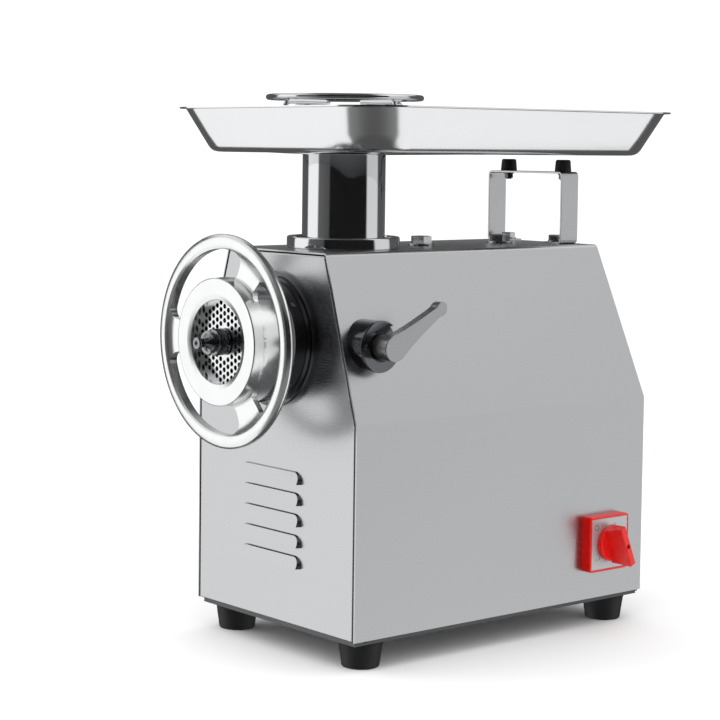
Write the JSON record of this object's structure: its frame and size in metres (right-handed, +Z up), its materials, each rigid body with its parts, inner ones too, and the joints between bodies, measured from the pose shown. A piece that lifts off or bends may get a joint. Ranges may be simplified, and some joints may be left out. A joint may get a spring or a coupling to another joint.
{
  "type": "electric meat grinder",
  "caption": "Bench-top electric meat grinder with a sheet-metal cabinet, front discharge head with a hand-wheel ring nut, feed tube, loading tray with guard, clamp lever and rotary switch.",
  "frame": {"origin": "on the floor, at the centre of the pattern of the four feet", "axes": "+Z up, -Y towards the discharge end, +X towards the clamp lever and the switch"},
  "size_m": [0.324, 0.5085, 0.5408],
  "materials": {
    "brushed_sheet": "brushed stainless sheet",
    "base_sheet": "dull folded sheet in shade",
    "collar_steel": "turned steel, darkened",
    "tray_sheet": "polished pressed stainless sheet",
    "polished_steel": "polished turned stainless steel",
    "wheel_casting": "cast and polished",
    "lever_casting": "satin die casting",
    "strap_sheet": "brushed stainless strip",
    "stainless_fasteners": "stainless steel",
    "dark_fasteners": "black oxide",
    "cutting_steel": "ground tool steel",
    "stud_steel": "polished turned steel",
    "tinned_iron": "tinned casting",
    "black_rubber": "moulded rubber",
    "switch_red": "moulded red plastic",
    "switch_grey": "satin printed label",
    "brass_screw": "plain brass",
    "black_plastic": "moulded black plastic",
    "gear_steel": "machined steel, oiled",
    "bearing_steel": "ground bearing steel",
    "seal_rubber": "nitrile rubber",
    "gearbox_iron": "machined casting",
    "motor_paint": "grey enamel",
    "laminations": "varnished laminations"
  },
  "bodies": {
    "cabinet": {"base_pan": "base_sheet", "bracket_bolts": "stainless_fasteners", "bumper_nuts": "dark_fasteners", "cable_gland": "black_plastic", "capacitor": "motor_paint", "collar_screw": "stainless_fasteners", "fan_cowl": "black_plastic", "feed_flange": "polished_steel", "feed_tube": "polished_steel", "flange_set_screws": "stainless_fasteners", "foot_nuts": "dark_fasteners", "foot_screws": "dark_fasteners", "front_flange": "collar_steel", "front_panel": "brushed_sheet", "gearbox_case": "gearbox_iron", "gearbox_cover": "gearbox_iron", "grinder_barrel": "tinned_iron", "grinding_plate": "cutting_steel", "head_socket": "tinned_iron", "lay_bearings": "bearing_steel", "lever_collar": "collar_steel", "motor_bearings": "bearing_steel", "motor_case": "motor_paint", "motor_end_bells": "motor_paint", "output_bearing": "bearing_steel", "plate_key": "cutting_steel", "rear_panel": "brushed_sheet", "rubber_feet": "black_rubber", "shaft_seal": "seal_rubber", "stator": "laminations", "switch_body": "black_plastic", "switch_label": "switch_grey", "switch_plate": "switch_red", "terminal_block": "black_plastic", "top_bolts": "stainless_fasteners", "top_washers": "stainless_fasteners", "tray_bracket": "strap_sheet", "tray_bumpers": "black_rubber", "wrap_cover": "brushed_sheet"},
    "auger_drive": {"auger": "tinned_iron", "auger_stud": "stud_steel", "knife": "cutting_steel", "output_shaft": "gear_steel", "output_gear": "gear_steel"},
    "layshaft": {"lay_shaft": "gear_steel", "lay_pinion": "gear_steel", "lay_gear": "gear_steel"},
    "motor_rotor": {"motor_shaft": "gear_steel", "motor_pinion": "gear_steel", "rotor": "laminations", "cooling_fan": "black_plastic"},
    "ring_nut": {"ring_nut": "wheel_casting"},
    "clamp_lever": {"clamp_lever": "lever_casting", "clamp_screw": "stainless_fasteners"},
    "switch_knob": {"switch_knob": "switch_red", "knob_screw": "brass_screw"},
    "tray": {"tray": "tray_sheet", "tray_spout": "tray_sheet", "guard_ring": "polished_steel", "guard_legs": "polished_steel"}
  },
  "joints": [
    {"name": "auger_spin", "type": "hinge", "parent": "cabinet", "child": "auger_drive", "pos_m": [0, -0.15, 0.305], "axis": [0, 1, 0], "continuous": true},
    {"name": "layshaft_spin", "type": "hinge", "parent": "cabinet", "child": "layshaft", "pos_m": [0, -0.02, 0.22625], "axis": [0, 1, 0], "continuous": true},
    {"name": "rotor_spin", "type": "hinge", "parent": "cabinet", "child": "motor_rotor", "pos_m": [0, 0.08, 0.11875], "axis": [0, 1, 0], "continuous": true},
    {"name": "ring_nut_turn", "type": "hinge", "parent": "cabinet", "child": "ring_nut", "pos_m": [0, -0.25, 0.305], "axis": [0, -1, 0], "range_deg": [0, 720]},
    {"name": "clamp_lever_turn", "type": "hinge", "parent": "cabinet", "child": "clamp_lever", "pos_m": [0.121, -0.1675, 0.305], "axis": [1, 0, 0], "range_deg": [-150, 30]},
    {"name": "switch_turn", "type": "hinge", "parent": "cabinet", "child": "switch_knob", "pos_m": [0.1337, 0.1355, 0.088], "axis": [1, 0, 0], "range_deg": [-90, 0]},
    {"name": "tray_lift", "type": "slide", "parent": "cabinet", "child": "tray", "axis": [0, 0, 1], "range_m": [0, 0.12]}
  ],
  "couplings": [
    {"joint": "layshaft_spin", "follows": "auger_spin", "ratio": -2.5},
    {"joint": "rotor_spin", "follows": "auger_spin", "ratio": 8.25}
  ]
}
